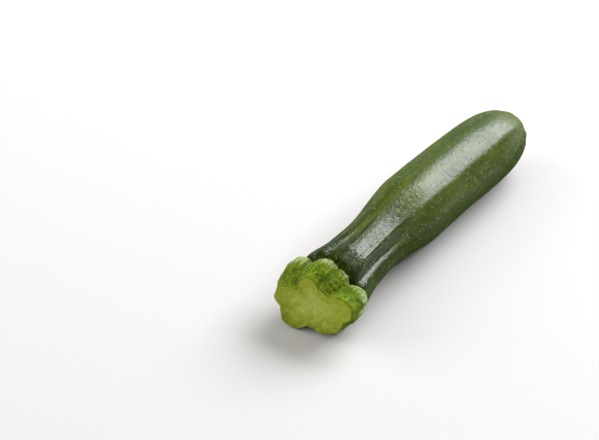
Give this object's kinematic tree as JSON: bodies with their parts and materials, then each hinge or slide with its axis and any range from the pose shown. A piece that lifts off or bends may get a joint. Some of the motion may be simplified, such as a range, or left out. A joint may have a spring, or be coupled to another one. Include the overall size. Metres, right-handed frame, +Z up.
{
  "type": "baby zucchini",
  "caption": "Baby zucchini lying on its belly: a slim ridged neck swelling to a rounded body, a lobed stub of cut stem at one end and a corky blossom scar at the other.",
  "frame": {"origin": "on the surface that the zucchini lies on, under the middle of its bounding box", "axes": "+X from the stem to the blossom end, +Z up, +Y to the left seen from the stem's end"},
  "size_m": [0.1142, 0.0282, 0.0237],
  "materials": {
    "skin": "satin",
    "stalk": "matte"
  },
  "bodies": {
    "root": {"fruit": "skin", "stem": "stalk"}
  },
  "joints": []
}
